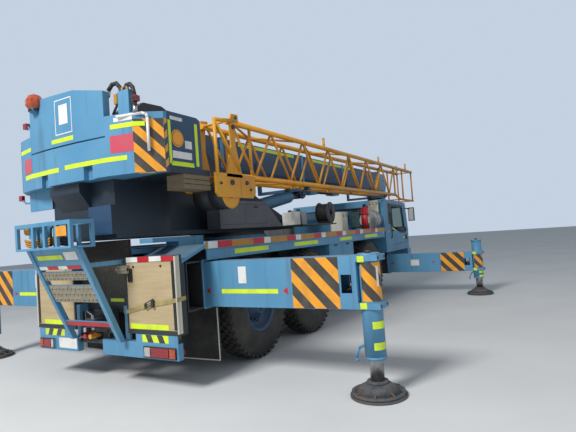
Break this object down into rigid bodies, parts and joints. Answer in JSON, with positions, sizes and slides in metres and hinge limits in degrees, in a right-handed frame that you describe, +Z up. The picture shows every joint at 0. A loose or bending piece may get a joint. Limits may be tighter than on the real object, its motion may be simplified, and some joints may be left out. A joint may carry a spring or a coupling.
{
  "type": "mobile crane",
  "caption": "Three-axle mobile crane on outriggers, telescopic boom level over a low cab, lattice jib stowed alongside.",
  "frame": {"origin": "middle of the overall bounding box, on the ground", "axes": "+X forward towards the carrier cab, +Y to the vehicle's left, +Z up"},
  "size_m": [11.19, 6.96, 3.569],
  "materials": {
    "bare_steel": "greasy steel",
    "blue_paint": "semi-gloss, worn",
    "cab_plastic": "grained",
    "clear_glass": "clear",
    "cream_paint": "satin",
    "dark_steel": "matt",
    "flap_rubber": "matt",
    "mat_board": "rough",
    "navy_paint": "semi-gloss",
    "red_paint": "gloss",
    "tyre_rubber": "matt",
    "yellow_paint": "semi-gloss"
  },
  "bodies": {
    "carrier": {"axles": "dark_steel", "bumper_front": "blue_paint", "bumper_rear": "blue_paint", "cab_glass": "clear_glass", "cab_interior": "cab_plastic", "cab_shell": "blue_paint", "carrier_frame": "dark_steel", "deck": "blue_paint", "deck_boxes": "cream_paint", "engine_block": "dark_steel", "engine_hood": "blue_paint", "exhaust": "dark_steel", "extinguisher": "red_paint", "mat_holders": "dark_steel", "mats": "mat_board", "mudflaps": "flap_rubber", "rear_bin": "blue_paint", "rear_rack": "blue_paint", "side_boxes": "navy_paint"},
    "knuckle_1_right": {"knuckle_1_right": "dark_steel"},
    "wheel_1_right": {"wheel_1_right": "tyre_rubber"},
    "knuckle_1_left": {"knuckle_1_left": "dark_steel"},
    "wheel_1_left": {"wheel_1_left": "tyre_rubber"},
    "knuckle_2_right": {"knuckle_2_right": "dark_steel"},
    "wheel_2_right": {"wheel_2_right": "tyre_rubber"},
    "knuckle_2_left": {"knuckle_2_left": "dark_steel"},
    "wheel_2_left": {"wheel_2_left": "tyre_rubber"},
    "knuckle_3_right": {"knuckle_3_right": "dark_steel"},
    "wheel_3_right": {"wheel_3_right": "tyre_rubber"},
    "knuckle_3_left": {"knuckle_3_left": "dark_steel"},
    "wheel_3_left": {"wheel_3_left": "tyre_rubber"},
    "beam_rear_right": {"beam_rear_right": "blue_paint"},
    "jack_rear_right": {"jack_rear_right": "bare_steel"},
    "beam_rear_left": {"beam_rear_left": "blue_paint"},
    "jack_rear_left": {"jack_rear_left": "bare_steel"},
    "beam_front_right": {"beam_front_right": "blue_paint"},
    "jack_front_right": {"jack_front_right": "bare_steel"},
    "beam_front_left": {"beam_front_left": "blue_paint"},
    "jack_front_left": {"jack_front_left": "bare_steel"},
    "cab_door_right": {"cab_door_right": "blue_paint"},
    "cab_door_left": {"cab_door_left": "blue_paint"},
    "upper": {"slew_ring": "navy_paint", "upper_frame": "navy_paint", "counterweight": "blue_paint", "engine_house": "navy_paint", "packing_boards": "mat_board", "upper_side_box": "blue_paint", "hose_shelf": "dark_steel", "winch": "dark_steel", "operator_cab": "blue_paint", "operator_glass": "clear_glass", "operator_seat": "cab_plastic"},
    "operator_door": {"operator_door": "blue_paint"},
    "boom": {"boom_base": "blue_paint", "jib": "yellow_paint", "jib_head": "yellow_paint"},
    "section_2": {"boom_section_2": "blue_paint"},
    "head": {"boom_head": "blue_paint"},
    "luff_barrel": {"luff_barrel": "blue_paint"},
    "luff_rod": {"luff_rod": "bare_steel"}
  },
  "joints": [
    {"name": "steer_1_right", "type": "hinge", "parent": "carrier", "child": "knuckle_1_right", "pos_m": [1.095, -0.805, 0.685], "axis": [0, 0, 1], "range_deg": [-30, 30]},
    {"name": "roll_1_right", "type": "hinge", "parent": "knuckle_1_right", "child": "wheel_1_right", "pos_m": [1.095, -1.095, 0.685], "axis": [0, 1, 0], "continuous": true},
    {"name": "steer_1_left", "type": "hinge", "parent": "carrier", "child": "knuckle_1_left", "pos_m": [1.095, 0.805, 0.685], "axis": [0, 0, 1], "range_deg": [-30, 30]},
    {"name": "roll_1_left", "type": "hinge", "parent": "knuckle_1_left", "child": "wheel_1_left", "pos_m": [1.095, 1.095, 0.685], "axis": [0, 1, 0], "continuous": true},
    {"name": "steer_2_right", "type": "hinge", "parent": "carrier", "child": "knuckle_2_right", "pos_m": [-1.715, -0.805, 0.685], "axis": [0, 0, 1], "range_deg": [-18, 18]},
    {"name": "roll_2_right", "type": "hinge", "parent": "knuckle_2_right", "child": "wheel_2_right", "pos_m": [-1.715, -1.095, 0.685], "axis": [0, 1, 0], "continuous": true},
    {"name": "steer_2_left", "type": "hinge", "parent": "carrier", "child": "knuckle_2_left", "pos_m": [-1.715, 0.805, 0.685], "axis": [0, 0, 1], "range_deg": [-18, 18]},
    {"name": "roll_2_left", "type": "hinge", "parent": "knuckle_2_left", "child": "wheel_2_left", "pos_m": [-1.715, 1.095, 0.685], "axis": [0, 1, 0], "continuous": true},
    {"name": "steer_3_right", "type": "hinge", "parent": "carrier", "child": "knuckle_3_right", "pos_m": [-3.295, -0.805, 0.685], "axis": [0, 0, 1], "range_deg": [-18, 18]},
    {"name": "roll_3_right", "type": "hinge", "parent": "knuckle_3_right", "child": "wheel_3_right", "pos_m": [-3.295, -1.095, 0.685], "axis": [0, 1, 0], "continuous": true},
    {"name": "steer_3_left", "type": "hinge", "parent": "carrier", "child": "knuckle_3_left", "pos_m": [-3.295, 0.805, 0.685], "axis": [0, 0, 1], "range_deg": [-18, 18]},
    {"name": "roll_3_left", "type": "hinge", "parent": "knuckle_3_left", "child": "wheel_3_left", "pos_m": [-3.295, 1.095, 0.685], "axis": [0, 1, 0], "continuous": true},
    {"name": "extend_rear_right", "type": "slide", "parent": "carrier", "child": "beam_rear_right", "axis": [0, -1, 0], "range_m": [-1.83, 0]},
    {"name": "lift_rear_right", "type": "slide", "parent": "beam_rear_right", "child": "jack_rear_right", "axis": [0, 0, 1], "range_m": [0, 0.15]},
    {"name": "extend_rear_left", "type": "slide", "parent": "carrier", "child": "beam_rear_left", "axis": [0, 1, 0], "range_m": [-1.83, 0]},
    {"name": "lift_rear_left", "type": "slide", "parent": "beam_rear_left", "child": "jack_rear_left", "axis": [0, 0, 1], "range_m": [0, 0.15]},
    {"name": "extend_front_right", "type": "slide", "parent": "carrier", "child": "beam_front_right", "axis": [0, -1, 0], "range_m": [-1.83, 0]},
    {"name": "lift_front_right", "type": "slide", "parent": "beam_front_right", "child": "jack_front_right", "axis": [0, 0, 1], "range_m": [0, 0.15]},
    {"name": "extend_front_left", "type": "slide", "parent": "carrier", "child": "beam_front_left", "axis": [0, 1, 0], "range_m": [-1.83, 0]},
    {"name": "lift_front_left", "type": "slide", "parent": "beam_front_left", "child": "jack_front_left", "axis": [0, 0, 1], "range_m": [0, 0.15]},
    {"name": "open_cab_door_right", "type": "hinge", "parent": "carrier", "child": "cab_door_right", "pos_m": [3.857, -1.266, 1.5], "axis": [0, 0, 1], "range_deg": [0, 70]},
    {"name": "open_cab_door_left", "type": "hinge", "parent": "carrier", "child": "cab_door_left", "pos_m": [3.857, 1.266, 1.5], "axis": [0, 0, -1], "range_deg": [0, 70]},
    {"name": "slew", "type": "hinge", "parent": "carrier", "child": "upper", "pos_m": [-2.305, 0, 1.68], "axis": [0, 0, 1], "continuous": true},
    {"name": "open_operator_door", "type": "hinge", "parent": "upper", "child": "operator_door", "pos_m": [-0.753, 1.216, 2.2], "axis": [0, 0, -1], "range_deg": [0, 80]},
    {"name": "luff_boom", "type": "hinge", "parent": "upper", "child": "boom", "pos_m": [-3.855, 0, 2.87], "axis": [0, -1, 0], "range_deg": [0, 78]},
    {"name": "extend_section_2", "type": "slide", "parent": "boom", "child": "section_2", "axis": [1, 0, 0], "range_m": [0, 7]},
    {"name": "extend_head", "type": "slide", "parent": "section_2", "child": "head", "axis": [1, 0, 0], "range_m": [0, 7]},
    {"name": "swing_luff_barrel", "type": "hinge", "parent": "upper", "child": "luff_barrel", "pos_m": [-2.605, 0, 1.98], "axis": [0, -1, 0], "range_deg": [0, 80.2]},
    {"name": "stroke_luff_rod", "type": "slide", "parent": "luff_barrel", "child": "luff_rod", "axis": [0.9841, 0, 0.1775], "range_m": [0, 1.927]}
  ],
  "couplings": [
    {"joint": "steer_1_right", "follows": "steer_1_left", "ratio": 1},
    {"joint": "steer_2_right", "follows": "steer_1_left", "ratio": 0.6},
    {"joint": "steer_2_left", "follows": "steer_1_left", "ratio": 0.6},
    {"joint": "steer_3_right", "follows": "steer_1_left", "ratio": -0.6},
    {"joint": "steer_3_left", "follows": "steer_1_left", "ratio": -0.6},
    {"joint": "swing_luff_barrel", "follows": "luff_boom", "ratio": 1.0276},
    {"joint": "stroke_luff_rod", "follows": "luff_boom", "m_per_rad": 1.415}
  ]
}
